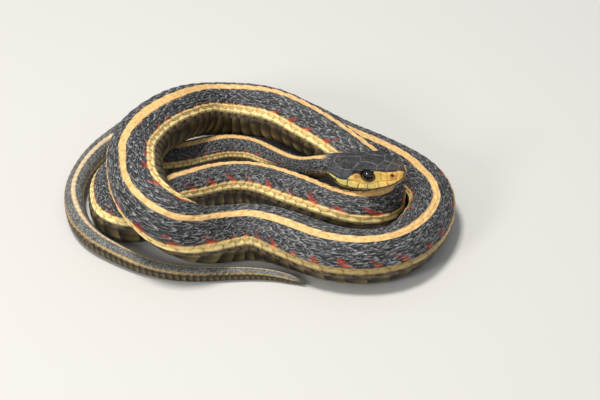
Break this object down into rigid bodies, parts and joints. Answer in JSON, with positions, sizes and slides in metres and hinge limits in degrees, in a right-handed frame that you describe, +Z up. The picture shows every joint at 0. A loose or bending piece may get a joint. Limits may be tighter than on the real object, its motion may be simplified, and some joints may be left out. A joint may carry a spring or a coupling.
{
  "type": "garter snake",
  "caption": "Life-size garter snake lying in loose crossed coils, its head resting on its own body, as a still display model.",
  "frame": {"origin": "on the floor, under the middle of the coils as seen from above", "axes": "+X is across the coils, towards the side the snout points to, +Z up; the picture looks along +Y"},
  "size_m": [0.1216, 0.1077, 0.0299],
  "materials": {
    "skin": "satin keeled scales, dark back with pale yellow stripes and red flecks",
    "lip": "satin, yellow chin and lip plates",
    "eye": "polished, black pupil with a dark brown iris and a thin pale rim"
  },
  "bodies": {
    "root": {"head": "skin", "lower_jaw": "lip", "eye_right": "eye", "eye_left": "eye", "neck": "skin", "body_01": "skin", "body_02": "skin", "body_03": "skin", "body_04": "skin", "body_05": "skin", "body_06": "skin", "body_07": "skin", "body_08": "skin", "body_09": "skin", "body_10": "skin", "body_11": "skin", "body_12": "skin", "body_13": "skin", "body_14": "skin", "body_15": "skin", "body_16": "skin", "body_17": "skin", "tail_1": "skin", "tail_2": "skin", "tail_3": "skin", "tail_4": "skin"}
  },
  "joints": []
}
